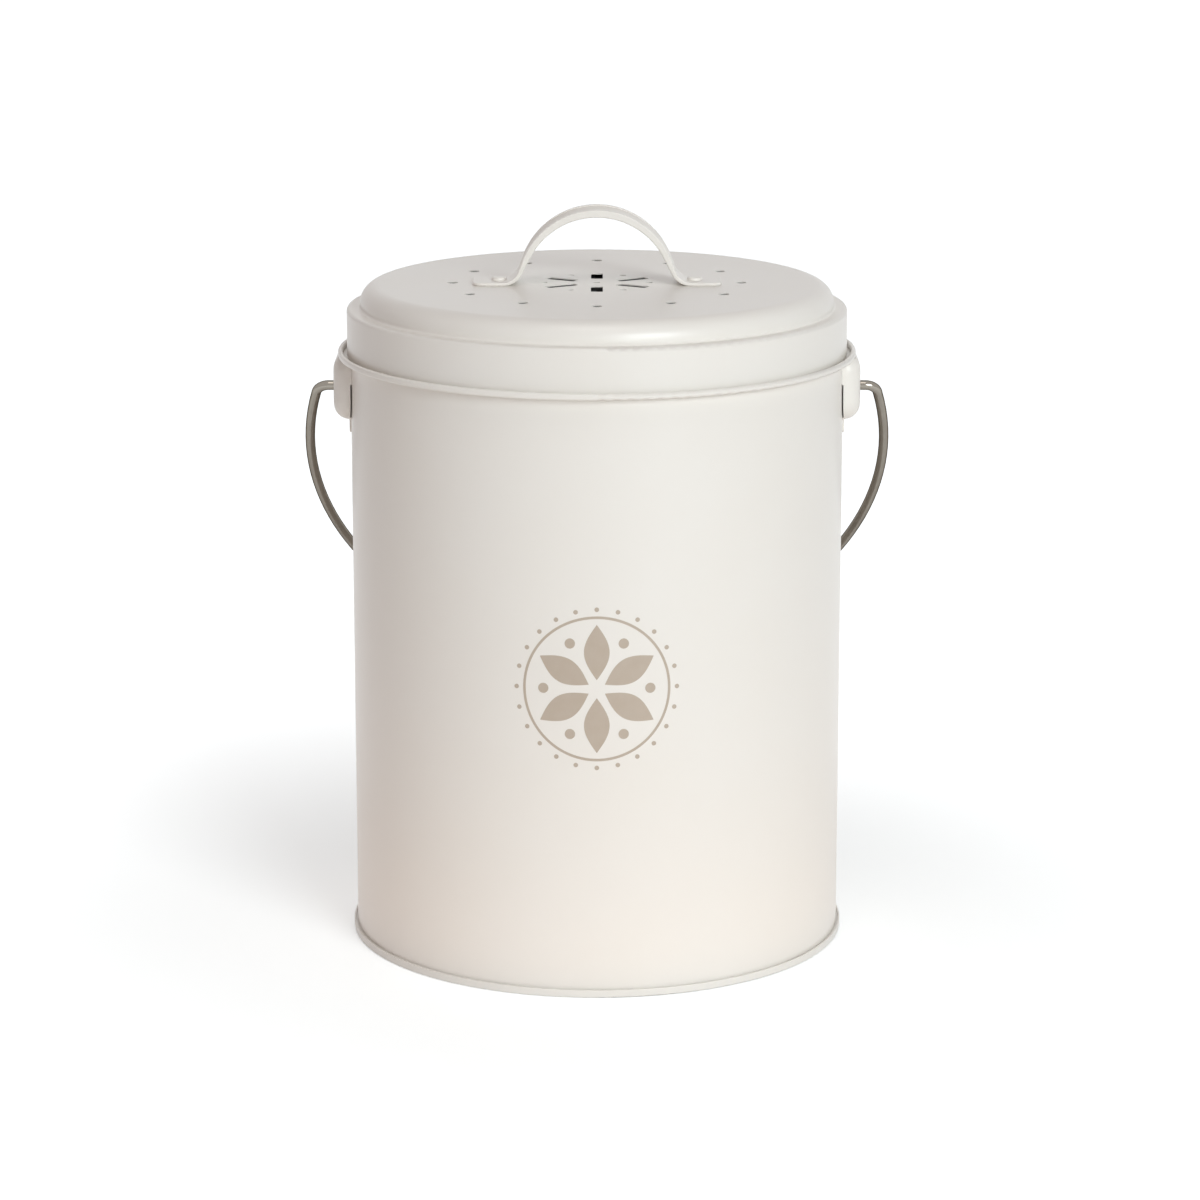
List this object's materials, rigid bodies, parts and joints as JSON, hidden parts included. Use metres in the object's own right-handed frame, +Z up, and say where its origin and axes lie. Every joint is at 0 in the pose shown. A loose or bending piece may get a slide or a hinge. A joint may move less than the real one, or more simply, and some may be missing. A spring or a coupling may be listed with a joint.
{
  "type": "kitchen compost bucket",
  "caption": "Round sheet steel kitchen compost bucket with a curled rim, a swinging wire bail and a lift-off vented lid that has a strap handle and a charcoal filter tray.",
  "frame": {"origin": "middle of the bucket's foot, on the surface it stands on", "axes": "+Z up along the bucket's axis, front towards -Y, the ears and the bail's pivots on the X axis, the bail hanging at the back (+Y)"},
  "size_m": [0.212, 0.1848, 0.2646],
  "materials": {
    "cream_paint": "satin powder coat",
    "bail_wire_steel": "satin nickel plated",
    "clip_steel": "plain spring steel",
    "tray_plastic": "moulded, fine grain",
    "charcoal_felt": "needled felt"
  },
  "bodies": {
    "bucket": {"bucket_wall": "cream_paint", "bucket_base": "cream_paint", "ear_left": "cream_paint", "ear_right": "cream_paint"},
    "bail": {"bail_handle": "bail_wire_steel"},
    "lid": {"lid_shell": "cream_paint", "lid_handle": "cream_paint", "handle_rivet_left": "cream_paint", "handle_rivet_right": "cream_paint", "filter_clip_1": "clip_steel", "filter_clip_2": "clip_steel", "filter_clip_3": "clip_steel"},
    "filter": {"filter_tray": "tray_plastic", "charcoal_pad": "charcoal_felt"}
  },
  "joints": [
    {"name": "bail_swing", "type": "hinge", "parent": "bucket", "child": "bail", "pos_m": [0, 0, 0.2005], "axis": [1, 0, 0], "range_deg": [0, 284.6]},
    {"name": "lid_lift", "type": "slide", "parent": "bucket", "child": "lid", "axis": [0, 0, 1], "range_m": [0, 0.12]},
    {"name": "filter_release", "type": "slide", "parent": "lid", "child": "filter", "axis": [0, 0, -1], "range_m": [0, 0.03]}
  ]
}
